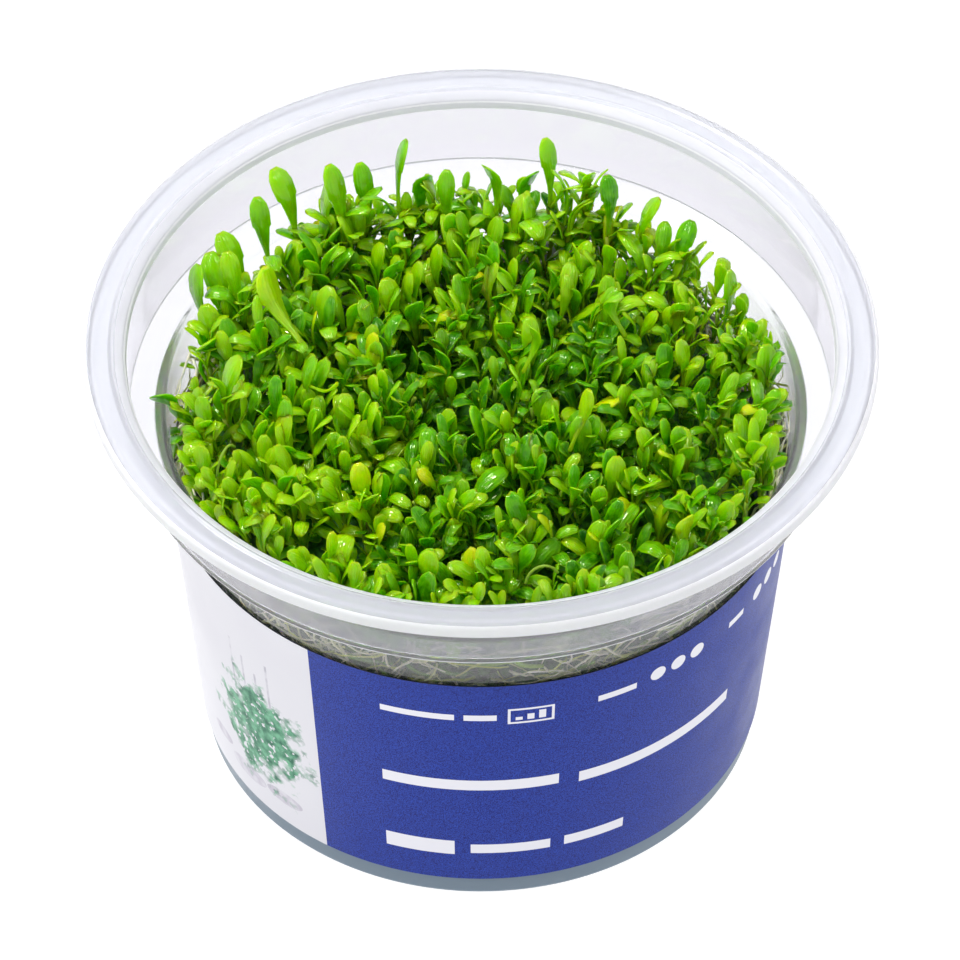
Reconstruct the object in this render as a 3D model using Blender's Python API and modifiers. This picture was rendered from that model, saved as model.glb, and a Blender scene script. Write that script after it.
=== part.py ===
"""A tissue-culture cup of glossostigma elatinoides.

A flanged, slightly milky cup with a printed sleeve holds nutrient gel. A mat of creeping stems
grows on the gel, and a cushion of upright plantlets with paired spatula leaves grows out of it.
The cup stands on Z = 0 with its axis on the origin, and the sleeve's front faces -Y.
"""

import math
import random

import bmesh
import bpy
from mathutils import Matrix, Vector, noise
from mathutils.bvhtree import BVHTree

MM = 0.001

# Cup
RIM_RADIUS = 50.0 * MM
CUP_HEIGHT = 64.5 * MM
COLLAR_DEPTH = 11.6 * MM
COLLAR_RADIUS = 45.1 * MM
BODY_TOP_RADIUS = 40.4 * MM
BODY_TAPER = 0.088
WALL = 0.8 * MM
FLANGE_THICKNESS = 0.9 * MM
SEAL_RADIUS = 46.4 * MM
SEAL_DROP = 1.2 * MM
SKIRT_HEIGHT = 1.6 * MM
SHOULDER_RADIUS = 40.8 * MM
FLOOR_THICKNESS = 1.2 * MM
FOOT_HEIGHT = 0.6 * MM
FOOT_WIDTH = 1.4 * MM
FOOT_ROUNDING = 0.8 * MM
TURN_STEPS = 32

# Label, gel and the gaps that keep touching pieces apart
GAP = 0.3 * MM
LABEL_GAP = 0.25 * MM
LABEL_THICKNESS = 0.25 * MM
LABEL_BOTTOM = 3.5 * MM
LABEL_TOP = 43.4 * MM
GEL_TOP = 30.0 * MM
MENISCUS = 0.7 * MM

# Stem mat
MAT_TOP = 49.6 * MM
MAT_EDGE = 45.4 * MM
MAT_CLEARANCE = 0.7 * MM
MAT_BUMP = 1.6 * MM
MAT_BUMP_SIZE = 3.6 * MM
MAT_SIDES = 36
MAT_RINGS = 7

# Plantlets, spread over the mat in a sunflower spiral
PLANTLETS = 50
PLANTLET_FIELD = 35.4 * MM
CUSHION_RADIUS = 38.6 * MM
GOLDEN_ANGLE = math.pi * (3.0 - math.sqrt(5.0))
STEM_WIDTH = 1.1 * MM
STEM_HEIGHT = 3.6 * MM
LEAF_LENGTH = 5.8 * MM
LEAF_WIDTH = 4.2 * MM
LEAF_THICKNESS = 0.8 * MM
KEEL_WIDTH = 0.45
SEED = 7

# A leaf's corners, as shares of its length and its width: where it is broadest, and its tip
LEAF_CORNERS = ((0.62, 1.0), (1.0, 0.55))

# How fast the underside of a low leaf climbs away from the stem
LOW_LEAF_SLOPE = 0.13

# How steeply the crossed pairs of leaves rise, from the lowest pair up. None is a bare stretch.
PAIR_RISES = (20.0, 38.0, 56.0, 72.0)

# Tall shoots at the back and the left, between two bearings in degrees
TALL_SECTOR = (48.0, 186.0)
TALL_EDGE = 27.0 * MM
TALL_STEM = (9.2 * MM, 11.8 * MM)
TALL_PAIR_RISES = (26.0, 44.0, None, 38.0, None, 52.0, 68.0)


def clear_scene():
    for thing in list(bpy.data.objects):
        bpy.data.objects.remove(thing, do_unlink=True)


def make_material(name, colour, roughness, alpha=1.0, transmission=0.0):
    material = bpy.data.materials.new(name)
    material.use_nodes = True
    shader = material.node_tree.nodes["Principled BSDF"]
    shader.inputs["Base Color"].default_value = (*colour, 1.0)
    shader.inputs["Roughness"].default_value = roughness
    shader.inputs["Metallic"].default_value = 0.0
    shader.inputs["Alpha"].default_value = alpha
    shader.inputs["Transmission Weight"].default_value = transmission
    material.diffuse_color = (*colour, alpha)
    return material


def add_object(name, mesh, collection, material):
    mesh.name = name
    thing = bpy.data.objects.new(name, mesh)
    thing.data.materials.clear()
    thing.data.materials.append(material)
    collection.objects.link(thing)
    return thing


def mesh_from(bm, name):
    mesh = bpy.data.meshes.new(name)
    bm.to_mesh(mesh)
    bm.free()
    return mesh


def turned_piece(name, profile, collection, material, closed=False):
    """Turns a profile of (radius, height) points round Z. Its outer side runs top to bottom."""
    bm = bmesh.new()
    points = [bm.verts.new((radius, 0.0, height)) for radius, height in profile]
    for start, end in zip(points, points[1:]):
        bm.edges.new((start, end))
    if closed:
        bm.edges.new((points[-1], points[0]))
    thing = add_object(name, mesh_from(bm, name), collection, material)
    screw = thing.modifiers.new("Turn", "SCREW")
    screw.steps = TURN_STEPS
    screw.render_steps = TURN_STEPS
    screw.use_merge_vertices = True
    screw.merge_threshold = 0.00001
    screw.use_smooth_shade = True
    return thing


def body_radius(height):
    """The outside of the cup's tapered body at a height."""
    return BODY_TOP_RADIUS - BODY_TAPER * (CUP_HEIGHT - COLLAR_DEPTH - height)


def cup_profile():
    inner_floor = FOOT_HEIGHT + FLOOR_THICKNESS
    ledge_under = CUP_HEIGHT - COLLAR_DEPTH
    ledge_top = ledge_under + WALL
    shoulder_drop = 1.1 * MM
    corner = 0.6 * MM
    seal_edge = CUP_HEIGHT - SEAL_DROP
    flange_under = CUP_HEIGHT - FLANGE_THICKNESS
    inside = [
        (0.0, inner_floor),
        (body_radius(inner_floor) - WALL - FOOT_ROUNDING, inner_floor),
        (body_radius(inner_floor + FOOT_ROUNDING) - WALL, inner_floor + FOOT_ROUNDING),
        (body_radius(ledge_top - shoulder_drop) - WALL, ledge_top - shoulder_drop),
        (SHOULDER_RADIUS, ledge_top),
        (COLLAR_RADIUS - 2.0 * WALL - corner, ledge_top),
        (COLLAR_RADIUS - 1.6 * WALL, ledge_top + corner),
        (COLLAR_RADIUS - WALL, seal_edge - corner),
    ]
    flange = [
        (COLLAR_RADIUS - 0.4 * WALL, seal_edge),
        (SEAL_RADIUS, CUP_HEIGHT),
        (RIM_RADIUS - 0.4 * MM, CUP_HEIGHT),
        (RIM_RADIUS, CUP_HEIGHT - 0.4 * MM),
        (RIM_RADIUS, CUP_HEIGHT - SKIRT_HEIGHT),
        (RIM_RADIUS - WALL, CUP_HEIGHT - SKIRT_HEIGHT),
        (RIM_RADIUS - 1.2 * WALL, flange_under),
        (SEAL_RADIUS + 0.2 * MM, flange_under),
    ]
    outside = [
        (COLLAR_RADIUS, seal_edge - 1.2 * MM),
        (COLLAR_RADIUS - 0.2 * MM, ledge_under + corner),
        (COLLAR_RADIUS - 0.2 * MM - corner, ledge_under),
        (BODY_TOP_RADIUS + corner, ledge_under),
        (body_radius(ledge_under - corner), ledge_under - corner),
        (body_radius(FOOT_ROUNDING), FOOT_ROUNDING),
        (body_radius(0.0) - 0.3 * FOOT_ROUNDING, 0.3 * FOOT_ROUNDING),
        (body_radius(0.0) - FOOT_ROUNDING, 0.0),
        (body_radius(0.0) - FOOT_ROUNDING - FOOT_WIDTH, 0.0),
        (body_radius(0.0) - FOOT_ROUNDING - FOOT_WIDTH - 0.5 * FOOT_HEIGHT, FOOT_HEIGHT),
        (0.0, FOOT_HEIGHT),
    ]
    return inside + flange + outside


def label_profile():
    inner_top = body_radius(LABEL_TOP) + LABEL_GAP
    inner_bottom = body_radius(LABEL_BOTTOM) + LABEL_GAP
    return [
        (inner_top, LABEL_TOP),
        (inner_top + LABEL_THICKNESS, LABEL_TOP),
        (inner_bottom + LABEL_THICKNESS, LABEL_BOTTOM),
        (inner_bottom, LABEL_BOTTOM),
    ]


def gel_profile():
    bottom = FOOT_HEIGHT + FLOOR_THICKNESS + GAP
    rim = GEL_TOP + MENISCUS
    return [
        (0.0, GEL_TOP),
        (body_radius(GEL_TOP) - WALL - GAP - 2.0 * MENISCUS, GEL_TOP),
        (body_radius(rim) - WALL - GAP, rim),
        (body_radius(bottom + FOOT_ROUNDING) - WALL - GAP, bottom + FOOT_ROUNDING),
        (body_radius(bottom) - WALL - GAP - FOOT_ROUNDING, bottom),
        (0.0, bottom),
    ]


def make_mat(collection, material):
    """The mat of stems and low leaves: it follows the cup's wall and has a domed, lumpy top."""
    bottom = GEL_TOP + MENISCUS + GAP
    rim = body_radius(MAT_EDGE) - WALL - MAT_CLEARANCE
    bm = bmesh.new()
    bmesh.ops.create_cone(
        bm,
        cap_ends=True,
        segments=MAT_SIDES,
        radius1=body_radius(bottom) - WALL - MAT_CLEARANCE,
        radius2=rim,
        depth=MAT_EDGE - bottom,
        matrix=Matrix.Translation((0.0, 0.0, 0.5 * (MAT_EDGE + bottom))),
    )
    top = max(bm.faces, key=lambda face: face.calc_center_median().z)
    for _ in range(MAT_RINGS - 1):
        bmesh.ops.inset_region(bm, faces=[top], thickness=rim / MAT_RINGS)
    bmesh.ops.poke(bm, faces=[top])
    for vert in bm.verts:
        inwards = 1.0 - math.hypot(vert.co.x, vert.co.y) / rim
        if vert.co.z > bottom + MM and inwards > 0.01:
            vert.co.z += (MAT_TOP - MAT_EDGE) * math.sqrt(1.0 - (1.0 - inwards) ** 2)
            vert.co.z += MAT_BUMP * noise.noise(vert.co / MAT_BUMP_SIZE)
    bmesh.ops.triangulate(bm, faces=bm.faces)
    return add_object("stem_mat", mesh_from(bm, "stem_mat"), collection, material)


def prism(segments):
    """An upright prism of unit radius from height 0 to 1."""
    bm = bmesh.new()
    half_up = Matrix.Translation((0.0, 0.0, 0.5))
    bmesh.ops.create_cone(bm, cap_ends=True, segments=segments, radius1=1, radius2=1, depth=1, matrix=half_up)
    return bm


def grow_leaf(bm, foot, bearing, rise, length):
    """Draws a spatula leaf out of a face of the stem: flat above, keeled below, sharp at its tip."""
    outwards = Vector((math.cos(bearing), math.sin(bearing), 0.0))
    across = Vector((-outwards.y, outwards.x, 0.0))
    along = outwards * math.cos(rise) + Vector((0.0, 0.0, math.sin(rise)))
    above = along.cross(across).normalized()
    if above.z < 0.0:
        above.negate()
    start = foot.calc_center_median()
    corners = [(vert, (vert.co - start).dot(across) > 0.0, vert.co.z > start.z) for vert in foot.verts]
    sides = [(1.0 if left else -1.0, upper) for _, left, upper in corners]
    face = foot
    for (share, width), thickness in zip(LEAF_CORNERS, (1.0, 0.0)):
        face = bmesh.ops.extrude_discrete_faces(bm, faces=[face])["faces"][0]
        for vert, (side, upper) in zip(face.verts, sides):
            spread = 0.5 * LEAF_WIDTH * width * (1.0 if upper or thickness == 0.0 else KEEL_WIDTH)
            depth = 0.0 if upper else thickness * LEAF_THICKNESS
            vert.co = start + along * length * share + across * side * spread - above * depth


def plantlet_spots():
    spots = []
    for number in range(PLANTLETS):
        radius = PLANTLET_FIELD * math.sqrt((number + 0.5) / PLANTLETS)
        bearing = number * GOLDEN_ANGLE
        spots.append(Vector((radius * math.cos(bearing), radius * math.sin(bearing), 0.0)))
    return spots


def room_for_leaf(bearing, fences):
    """How far from the stem a leaf may reach before a corner of it meets a fence.

    A fence is an upright plane, as its outward direction and its distance from the stem.
    """
    outwards = Vector((math.cos(bearing), math.sin(bearing), 0.0))
    reach = LEAF_LENGTH
    for direction, distance in fences:
        facing = outwards.dot(direction)
        sideways = math.sqrt(max(0.0, 1.0 - facing**2))
        for share, width in LEAF_CORNERS:
            if facing > 0.05:
                reach = min(reach, (distance - 0.5 * LEAF_WIDTH * width * sideways) / (share * facing))
    return reach


def fences_round(spot, spots):
    """The planes halfway to each other plantlet, and the one that keeps leaves off the cup's wall."""
    fences = []
    for other in spots:
        if other is not spot:
            apart = other - spot
            fences.append((apart.normalized(), 0.5 * (apart.length - GAP)))
    fences.append((spot.normalized(), CUSHION_RADIUS - spot.length))
    return fences


def standing_height(spot, mat_tree):
    """The lowest foot at which a plantlet's stem and its rising low leaves stay clear of the mat."""
    needed = []
    for step in range(6):
        distance = 0.18 * LEAF_LENGTH * step
        for twelfth in range(12):
            bearing = math.radians(30.0 * twelfth)
            x = spot.x + distance * math.cos(bearing)
            y = spot.y + distance * math.sin(bearing)
            mat_point = mat_tree.ray_cast(Vector((x, y, CUP_HEIGHT)), Vector((0.0, 0.0, -1.0)))[0]
            if mat_point is not None:
                needed.append(mat_point.z - LOW_LEAF_SLOPE * distance)
    return max(needed) + GAP


def make_plantlet(name, spot, spots, mat_tree, rng, collection, material):
    fences = fences_round(spot, spots)
    bearing = math.degrees(math.atan2(spot.y, spot.x)) % 360.0
    tall = spot.length > TALL_EDGE and TALL_SECTOR[0] < bearing < TALL_SECTOR[1]
    rises = TALL_PAIR_RISES if tall else PAIR_RISES
    height = rng.uniform(*TALL_STEM) if tall else STEM_HEIGHT * rng.uniform(0.85, 1.2)

    bm = prism(4)
    bmesh.ops.rotate(bm, verts=bm.verts, matrix=Matrix.Rotation(0.25 * math.pi, 3, "Z"))
    corner = STEM_WIDTH / math.sqrt(2.0)
    bmesh.ops.scale(bm, verts=bm.verts, vec=(corner, corner, height))
    long_edges = [edge for edge in bm.edges if abs(edge.verts[0].co.z - edge.verts[1].co.z) > 0.5 * height]
    bmesh.ops.subdivide_edges(bm, edges=long_edges, cuts=len(rises) - 1)
    sides = [face for face in bm.faces if abs(face.normal.z) < 0.5]
    twist = rng.uniform(0.0, 0.5 * math.pi)
    for face in sides:
        tier = int(face.calc_center_median().z / height * len(rises))
        facing = abs(face.normal.x) > 0.5
        if rises[tier] is not None and facing == (tier % 2 == 0):
            turn = math.atan2(face.normal.y, face.normal.x) + math.radians(rng.uniform(-12.0, 12.0))
            rise = math.radians(rises[tier] + rng.uniform(-6.0, 6.0))
            room = room_for_leaf(turn + twist, fences) - 0.5 * STEM_WIDTH
            grow_leaf(bm, face, turn, rise, min(LEAF_LENGTH * rng.uniform(0.94, 1.0), room / math.cos(rise)))
    bmesh.ops.remove_doubles(bm, verts=bm.verts, dist=0.001 * MM)
    foot = Matrix.Translation((spot.x, spot.y, standing_height(spot, mat_tree)))
    bmesh.ops.transform(bm, matrix=foot @ Matrix.Rotation(twist, 4, "Z"), verts=bm.verts)
    bmesh.ops.recalc_face_normals(bm, faces=bm.faces)
    return add_object(name, mesh_from(bm, name), collection, material)


def main():
    clear_scene()
    parts = bpy.data.collections.new("glossostigma_cup")
    bpy.context.scene.collection.children.link(parts)
    milky = make_material("milky_plastic", (0.86, 0.88, 0.92), 0.25, alpha=0.45, transmission=0.6)
    printed = make_material("printed_label", (0.05, 0.08, 0.33), 0.45)
    jelly = make_material("gel", (0.62, 0.66, 0.62), 0.1, alpha=0.5, transmission=0.8)
    stems = make_material("stems", (0.16, 0.2, 0.05), 0.6)
    leafy = make_material("leaf", (0.1, 0.38, 0.015), 0.35)

    turned_piece("cup", cup_profile(), parts, milky)
    turned_piece("label", label_profile(), parts, printed, closed=True)
    turned_piece("gel", gel_profile(), parts, jelly)
    mat = make_mat(parts, stems)
    corners = [vert.co for vert in mat.data.vertices]
    mat_tree = BVHTree.FromPolygons(corners, [face.vertices for face in mat.data.polygons])
    rng = random.Random(SEED)
    spots = plantlet_spots()
    for number, spot in enumerate(spots, start=1):
        make_plantlet(f"plantlet_{number:02d}", spot, spots, mat_tree, rng, parts, leafy)


main()
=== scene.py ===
# %% [markdown]
# # An aquarium plant in its tissue-culture cup
# The real object is a shallow flanged cup of milky plastic. A layer of clear gel fills its bottom, a
# tangle of stems and roots grows on the gel, and hundreds of small spatula leaves stand out of it.
# The solid model comes first, as a frame that never moves. Every piece made here stands for one of
# its nodes or grows where that node stands, so nothing needs fitting afterwards.

# %% Load the frame
import math
import random

import bpy
from mathutils import Euler, Matrix, Vector


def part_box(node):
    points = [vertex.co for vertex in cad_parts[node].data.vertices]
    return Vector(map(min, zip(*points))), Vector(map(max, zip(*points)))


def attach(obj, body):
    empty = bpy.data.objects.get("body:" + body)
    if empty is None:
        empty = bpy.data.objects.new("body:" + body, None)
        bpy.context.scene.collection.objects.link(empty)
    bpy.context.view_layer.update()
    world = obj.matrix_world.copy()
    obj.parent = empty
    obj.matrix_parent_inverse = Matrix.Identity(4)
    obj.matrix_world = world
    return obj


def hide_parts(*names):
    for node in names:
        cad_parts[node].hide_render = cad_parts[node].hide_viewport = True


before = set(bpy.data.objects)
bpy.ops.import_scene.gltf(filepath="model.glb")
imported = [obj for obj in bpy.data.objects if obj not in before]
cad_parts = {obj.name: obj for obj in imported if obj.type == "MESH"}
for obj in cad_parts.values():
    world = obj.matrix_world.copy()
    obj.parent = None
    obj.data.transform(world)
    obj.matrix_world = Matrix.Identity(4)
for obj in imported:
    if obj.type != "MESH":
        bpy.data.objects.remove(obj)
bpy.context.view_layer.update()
MM = 0.001
TURN = 2.0 * math.pi
SEED = 21
plantlet_nodes = sorted(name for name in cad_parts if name.startswith("plantlet"))
print("Nodes in the frame:", len(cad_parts), "of which plantlets:", len(plantlet_nodes))

# %% [markdown]
# ## Driving sizes
# The cup's height and rim come from the frame. The steps of its wall (flange, collar, ledge, tapered
# body) are the sizes that a moulder would write on a drawing, so they are named here once and every
# later ring is worked out from them.

# %% Sizes of the cup
_, cup_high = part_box("cup")
RIM = cup_high.x
TOP = cup_high.z
LEDGE_UNDER = TOP - 11.6 * MM  # height of the ledge's underside
COLLAR = 45.1 * MM  # outer radius of the collar
BODY_TOP = 40.6 * MM  # outer radius of the body under the ledge
TAPER = 0.088  # radius that the body loses for each unit of depth
WALL = 0.8 * MM
SEAT = 46.4 * MM  # radius of the ridge that the film is welded to
SKIRT = 1.6 * MM  # height of the rim's outer edge
ROUND = 160  # points round a turned piece


def body_radius(height):
    """The outside of the tapered body at a height."""
    return BODY_TOP - TAPER * (LEDGE_UNDER - height)


print("Rim radius and height in mm:", round(RIM / MM, 1), round(TOP / MM, 1))

# %% [markdown]
# ## Hands for the edit mode
# An operator works on whatever is selected. These helpers select first, so that each later step reads
# like a gesture: take up a piece, pick some points, then push or scale them.

# %% Helpers for selecting and joining


def take_up(*pieces):
    """Selects only these pieces. The first is the active one."""
    bpy.ops.object.select_all(action="DESELECT")
    for piece in pieces:
        piece.select_set(True)
    bpy.context.view_layer.objects.active = pieces[0]


def pick(piece, wanted):
    """Selects the piece's points whose numbers are wanted, and opens it in edit mode."""
    if bpy.context.mode != "OBJECT":
        bpy.ops.object.mode_set(mode="OBJECT")
    take_up(piece)
    bpy.ops.object.mode_set(mode="EDIT")
    bpy.ops.mesh.select_all(action="DESELECT")
    bpy.ops.object.mode_set(mode="OBJECT")
    for number in wanted:
        piece.data.vertices[number].select = True
    bpy.ops.object.mode_set(mode="EDIT")


def name_piece(piece, name):
    piece.name = name
    piece.data.name = name
    return piece


def join(name, pieces):
    """Joins pieces into one mesh."""
    take_up(*pieces)
    bpy.ops.object.join()
    return name_piece(bpy.context.object, name)


def apply_modifiers(piece):
    take_up(piece)
    for modifier in list(piece.modifiers):
        bpy.ops.object.modifier_apply(modifier=modifier.name)


def settle(piece, material, node, angle=40.0):
    """Finishes a piece: smooth shading, its material, and its place in the frame."""
    take_up(piece)
    bpy.ops.object.shade_smooth_by_angle(angle=math.radians(angle))
    piece.data.materials.append(material)
    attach(piece, "root")
    if node is not None:
        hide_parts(node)


# %% [markdown]
# ## Hands for the shader editor
# Every finish is a Principled shader with a few nodes in front of it. One helper adds a node and fills
# its inputs, with a link where it is given a socket and a value where it is given a number.

# %% Helpers for materials


def paint(name, settings):
    """A new Principled material with these constant values on the shader's own sockets."""
    material = bpy.data.materials.new(name)
    material.use_nodes = True
    for socket, value in settings.items():
        material.node_tree.nodes["Principled BSDF"].inputs[socket].default_value = value
    return material


def wire(material, kind, inputs, **properties):
    """Adds a shader node. Each input gets a link from a socket, or a value."""
    node = material.node_tree.nodes.new("ShaderNode" + kind)
    for name, value in properties.items():
        setattr(node, name, value)
    for place, value in inputs.items():
        if isinstance(value, bpy.types.NodeSocket):
            material.node_tree.links.new(value, node.inputs[place])
        else:
            node.inputs[place].default_value = value
    return node


def feed(material, socket, source):
    """Links a source to a socket of the material's Principled shader."""
    material.node_tree.links.new(source, material.node_tree.nodes["Principled BSDF"].inputs[socket])


def reckon(material, operation, *values):
    """A Math node."""
    return wire(material, "Math", dict(enumerate(values)), operation=operation).outputs[0]


def blend_colours(material, share, first, second):
    """First colour where share is 0, second where it is 1."""
    mixer = wire(material, "Mix", {0: share, 6: first, 7: second}, data_type="RGBA")
    return mixer.outputs[2]


def object_place(material):
    return wire(material, "TexCoord", {}).outputs["Object"]


def cloudy(material, scale, detail=3.0):
    """Soft noise from 0 to 1. Scale is in waves a metre."""
    inputs = {"Vector": object_place(material), "Scale": scale, "Detail": detail}
    return wire(material, "TexNoise", inputs).outputs["Fac"]


def stretch(material, value, low, high, to_low=0.0, to_high=1.0):
    """Maps low to to_low and high to to_high, and stops there."""
    inputs = {"Value": value, "From Min": low, "From Max": high, "To Min": to_low, "To Max": to_high}
    return wire(material, "MapRange", inputs).outputs["Result"]


def uneven_gloss(material, noise, low, high):
    """Roughness that drifts between low and high with a noise."""
    feed(material, "Roughness", stretch(material, noise, 0.3, 0.7, low, high))


def raise_grain(material, height, strength, distance):
    """A bump from a height pattern."""
    bump = wire(material, "Bump", {"Height": height, "Strength": strength, "Distance": distance})
    feed(material, "Normal", bump.outputs["Normal"])


# %% [markdown]
# ## The cup's plastic
# The cup is injection-moulded polypropylene. It lets light through and blurs it, and it looks whiter
# where the wall is thick or where two walls lie behind each other. A plain transmission value does
# this, and the rest of the light is scattered by the white in the plastic. Each zone of the moulding
# has its own mix: the flange, its rim and the weld are the cloudiest, and the collar, the ledge and
# the body let most of the light through. The foot is tinted a dark blue-grey, painted shade for the
# dark under the cup that shows through it. The inner wall is clear at the front and misted towards
# the back, so its roughness follows a point's depth and not a noise.

# %% Milky plastic for each zone of the cup
MIST_FROM, MIST_FULL = -30.0 * MM, -8.0 * MM  # places on the Y axis
PLASTICS = {  # tint, share of the light that passes, roughness
    "flange": ((0.8, 0.812, 0.89, 1.0), 0.55, 0.19),
    "collar": ((0.765, 0.755, 0.815, 1.0), 0.965, 0.07),
    "body": ((0.95, 0.955, 0.985, 1.0), 0.97, 0.06),
    # The foot's dark tint is painted shade from under the cup.
    "foot": ((0.18, 0.245, 0.315, 1.0), 0.2, 0.36),
    "rim": ((0.88, 0.885, 0.945, 1.0), 0.35, 0.36),
    "ledge": ((0.91, 0.91, 0.96, 1.0), 0.91, 0.06),
    "weld": ((0.8, 0.8, 0.87, 1.0), 0.3, 0.36),
    "inner": ((0.94, 0.94, 0.98, 1.0), 0.94, None),
}
ZONES = list(PLASTICS)


def milky_plastic(zone):
    """The plastic of one zone. Where it has no roughness of its own, mist gathers towards the back."""
    tint, clearness, roughness = PLASTICS[zone]
    material = paint(
        zone + "_plastic",
        {
            "Base Color": tint,
            "IOR": 1.45,
            "Specular IOR Level": 0.35,
            "Transmission Weight": clearness,
            "Subsurface Weight": 0.9,
            "Subsurface Radius": (1.0, 1.0, 1.0),
            "Subsurface Scale": 2.0 * MM,
        },
    )
    if roughness is None:
        depth = wire(material, "SeparateXYZ", {"Vector": object_place(material)}).outputs["Y"]
        feed(material, "Roughness", stretch(material, depth, MIST_FROM, MIST_FULL, 0.05, 0.25))
    else:
        uneven_gloss(material, cloudy(material, 90.0), roughness - 0.04, roughness + 0.05)
    raise_grain(material, cloudy(material, 420.0, 2.0), 0.12, 0.1 * MM)
    return material


cup_plastics = [milky_plastic(zone) for zone in ZONES]
print("Plastics:", [plastic.name for plastic in cup_plastics])

# %% [markdown]
# ## Turning a wall
# A cup could be a profile with a Screw modifier. Here it is grown ring by ring instead, as by hand: a
# circle is added, and its edge is extruded, scaled and lifted through each point of the section. The
# corners of the section are rounded first, because light runs along a rounded corner.

# %% Helpers for turned pieces


def rounded(corners, steps=4):
    """A section's points. A corner is a radius, a height and how far its rounding reaches."""
    points = []
    for number, (radius, height, reach) in enumerate(corners):
        here = Vector((radius, height))
        if reach == 0.0 or number in (0, len(corners) - 1):
            points.append(here)
            continue
        before = Vector(corners[number - 1][:2]) - here
        after = Vector(corners[number + 1][:2]) - here
        start = here + before.normalized() * reach
        end = here + after.normalized() * reach
        for step in range(steps + 1):
            share = step / steps
            points.append(start.lerp(here, share).lerp(here.lerp(end, share), share))
    return points


def open_circle(name, points, radius, height=0.0):
    """Adds a circle, opens it in edit mode with all selected, and lifts it to its height."""
    bpy.ops.object.select_all(action="DESELECT")
    bpy.ops.mesh.primitive_circle_add(vertices=points, radius=radius, location=(0.0, 0.0, 0.0))
    circle = name_piece(bpy.context.object, name)
    bpy.ops.object.mode_set(mode="EDIT")
    bpy.ops.mesh.select_all(action="SELECT")
    bpy.ops.transform.translate(value=(0.0, 0.0, height))
    return circle


def turn(name, section, closed=False):
    """Grows a wall through a section's rings. A closed section ends where it starts."""
    radius, height = section[0]
    piece = open_circle(name, ROUND, radius, height)
    if not closed:
        bpy.ops.mesh.edge_face_add()
    for next_radius, next_height in section[1:]:
        bpy.ops.mesh.extrude_edges_move()
        scale = next_radius / radius
        bpy.ops.transform.resize(value=(scale, scale, 1.0), center_override=(0.0, 0.0, height))
        bpy.ops.transform.translate(value=(0.0, 0.0, next_height - height))
        radius, height = next_radius, next_height
    if not closed:
        bpy.ops.mesh.edge_face_add()
    bpy.ops.mesh.select_all(action="SELECT")
    bpy.ops.mesh.remove_doubles(threshold=0.001 * MM)
    bpy.ops.mesh.normals_make_consistent(inside=False)
    bpy.ops.object.mode_set(mode="OBJECT")
    return piece


# %% [markdown]
# ## The cup
# From the middle of the floor the wall runs out and up inside the body, over the shoulder onto the
# flat ledge, up the collar and over the sealing flange, then down the skirt and back outside. The
# underside keeps a low foot ring, so the cup stands on its edge and not on its whole floor.

# %% Turn the cup
FLOOR_TOP = 1.8 * MM
FLOOR_MIDDLE = 24.0 * MM
FOOT_TOP = 3.4 * MM
FOOT_HOLLOW = 0.6 * MM
LEDGE_TOP = LEDGE_UNDER + 0.5 * MM
BAND_LOW = LEDGE_UNDER - 8.0 * MM  # the sleeve hides the wall below this
inside = [  # radius, height and how far the corner's rounding reaches
    (FLOOR_MIDDLE, FLOOR_TOP, 0.0),
    (body_radius(FLOOR_TOP) - WALL, FLOOR_TOP, 1.5 * MM),
    (body_radius(BAND_LOW) - WALL, BAND_LOW, 0.0),
    (body_radius(LEDGE_TOP) - WALL, LEDGE_TOP - 0.15 * MM, 0.7 * MM),
    (BODY_TOP + 0.4 * MM, LEDGE_TOP, 0.2 * MM),
    (COLLAR - 0.75 * MM, LEDGE_TOP, 0.3 * MM),
    (COLLAR - 0.6 * MM, TOP - 1.9 * MM, 0.4 * MM),
]
flange = [
    (COLLAR - 0.2 * MM, TOP - 1.2 * MM, 0.2 * MM),
    (SEAT - 0.5 * MM, TOP - 0.5 * MM, 0.2 * MM),
    (SEAT, TOP - 0.14 * MM, 0.16 * MM),
    (SEAT + 0.45 * MM, TOP - 0.35 * MM, 0.12 * MM),
    (RIM - 1.9 * MM, TOP - 0.3 * MM, 0.4 * MM),
    (RIM - 1.1 * MM, TOP, 0.35 * MM),
    (RIM - 0.05 * MM, TOP - 0.1 * MM, 0.45 * MM),
    (RIM, TOP - SKIRT, 0.12 * MM),
    (RIM - 0.7 * MM, TOP - SKIRT, 0.12 * MM),
    (RIM - 1.0 * MM, TOP - 1.1 * MM, 0.15 * MM),
    (SEAT + 0.3 * MM, TOP - 1.2 * MM, 0.3 * MM),
]
outside = [
    (COLLAR, TOP - 2.2 * MM, 0.3 * MM),
    (COLLAR - 0.1 * MM, LEDGE_UNDER, 0.3 * MM),
    (BODY_TOP + 0.6 * MM, LEDGE_UNDER, 0.25 * MM),
    (body_radius(LEDGE_UNDER - 0.8 * MM), LEDGE_UNDER - 0.8 * MM, 0.25 * MM),
    (body_radius(FOOT_TOP), FOOT_TOP, 0.0),
    (body_radius(0.0), 0.0, 0.7 * MM),
    (body_radius(0.0) - 2.2 * MM, 0.0, 0.3 * MM),
    (body_radius(0.0) - 2.6 * MM, FOOT_HOLLOW, 0.2 * MM),
    (FLOOR_MIDDLE, FOOT_HOLLOW, 0.0),
]
cup = turn("cup_moulded", rounded(inside + flange + outside))
print("The cup has", len(cup.data.polygons), "faces")

# %% [markdown]
# The one mesh carries all these finishes, and each face gets its own by where it lies. A rule for a
# narrow zone comes before the rule for the wide zone round it.

# %% Give the cup its finishes


def faces_inwards(face):
    """True where a face looks towards the cup's axis."""
    return face.normal.x * face.center.x + face.normal.y * face.center.y < 0.0


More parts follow.
